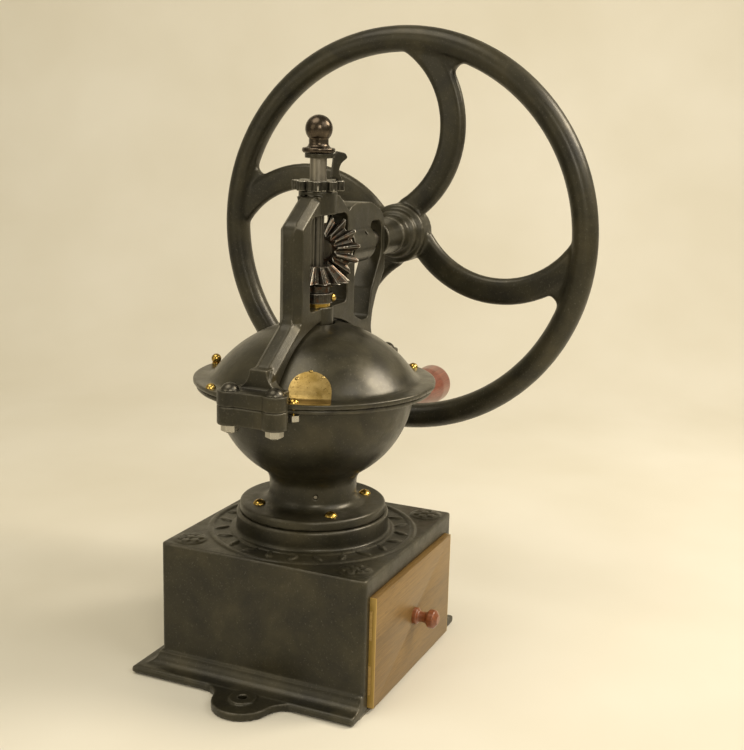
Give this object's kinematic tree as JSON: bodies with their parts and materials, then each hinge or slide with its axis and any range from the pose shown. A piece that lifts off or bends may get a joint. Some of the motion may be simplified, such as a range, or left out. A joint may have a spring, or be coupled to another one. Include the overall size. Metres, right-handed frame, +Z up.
{
  "type": "hand crank coffee grinder",
  "caption": "Table coffee grinder with a square box and drawer, round bowl and domed lid, bevel-drive frame and a large crank wheel.",
  "frame": {"origin": "on the table, under the upright spindle's axis", "axes": "+Z up; the drawer faces -Y; the crank wheel stands at +X, with its shaft along X"},
  "size_m": [0.4719, 0.41, 0.5841],
  "materials": {
    "cast_iron": "dark waxed cast iron",
    "lid_iron": "smoother worn dark iron",
    "dark_steel": "darkened steel",
    "gear_steel": "dark steel, worn bright on the teeth",
    "knob_steel": "polished steel, browned",
    "brass": "polished brass",
    "aged_brass": "aged speckled brass",
    "oak": "open-grained varnished wood",
    "pale_board": "plain pale wood",
    "cherry": "stained and polished turned wood"
  },
  "bodies": {
    "root": {"base_box": "cast_iron", "bottom_plate": "dark_steel", "plate_screws": "dark_steel", "bowl": "cast_iron", "foot_screws": "brass", "ring_burr": "dark_steel", "burr_screws": "dark_steel", "fixed_lid": "lid_iron", "lid_screws": "brass", "lid_nuts": "dark_steel", "blank_plate": "aged_brass", "plate_pins": "aged_brass", "frame": "cast_iron", "frame_bolts": "dark_steel", "frame_nuts": "dark_steel", "thrust_washer": "brass"},
    "drawer": {"drawer_front": "oak", "drawer_sides": "pale_board", "drawer_back": "pale_board", "drawer_floor": "pale_board", "drawer_knob": "cherry"},
    "lid": {"free_lid": "lid_iron", "lid_knob": "brass", "lid_studs": "brass"},
    "wheel": {"flywheel": "cast_iron", "crank_shaft": "dark_steel", "drive_gear": "gear_steel", "gear_pin": "dark_steel", "wheel_key": "dark_steel", "wheel_washer": "dark_steel", "wheel_nut": "dark_steel", "handle_pin": "dark_steel"},
    "grip": {"grip": "cherry"},
    "pinion": {"pinion": "gear_steel", "set_screw": "brass", "pinion_key": "dark_steel"},
    "spindle": {"spindle": "dark_steel", "cone_burr": "dark_steel", "burr_key": "dark_steel", "burr_nut": "dark_steel", "top_knob": "knob_steel"},
    "star": {"star_nut": "dark_steel"},
    "sleeve": {"sleeve": "dark_steel", "lock_clip": "cast_iron"}
  },
  "joints": [
    {"name": "drawer_slide", "type": "slide", "parent": "root", "child": "drawer", "axis": [0, -1, 0], "range_m": [0, 0.15]},
    {"name": "lid_slide", "type": "slide", "parent": "root", "child": "lid", "axis": [0, 1, 0], "range_m": [0, 0.12]},
    {"name": "wheel_spin", "type": "hinge", "parent": "root", "child": "wheel", "pos_m": [0.192, 0, 0.3791], "axis": [1, 0, 0], "continuous": true},
    {"name": "grip_spin", "type": "hinge", "parent": "wheel", "child": "grip", "pos_m": [0.255, 0, 0.1991], "axis": [1, 0, 0], "continuous": true},
    {"name": "pinion_spin", "type": "hinge", "parent": "root", "child": "pinion", "pos_m": [0, 0, 0.35], "axis": [0, 0, 1], "continuous": true},
    {"name": "adjust_turn", "type": "hinge", "parent": "root", "child": "star", "pos_m": [0, 0, 0.436], "axis": [0, 0, 1], "range_deg": [-180, 180]},
    {"name": "sleeve_rise", "type": "slide", "parent": "star", "child": "sleeve", "axis": [0, 0, 1], "range_m": [-0.001, 0.001]},
    {"name": "spindle_rise", "type": "slide", "parent": "pinion", "child": "spindle", "axis": [0, 0, 1], "range_m": [-0.001, 0.001]}
  ],
  "couplings": [
    {"joint": "pinion_spin", "follows": "wheel_spin", "ratio": 1},
    {"joint": "sleeve_rise", "follows": "spindle_rise", "ratio": 1},
    {"joint": "adjust_turn", "follows": "spindle_rise", "rad_per_m": 3141.6}
  ]
}
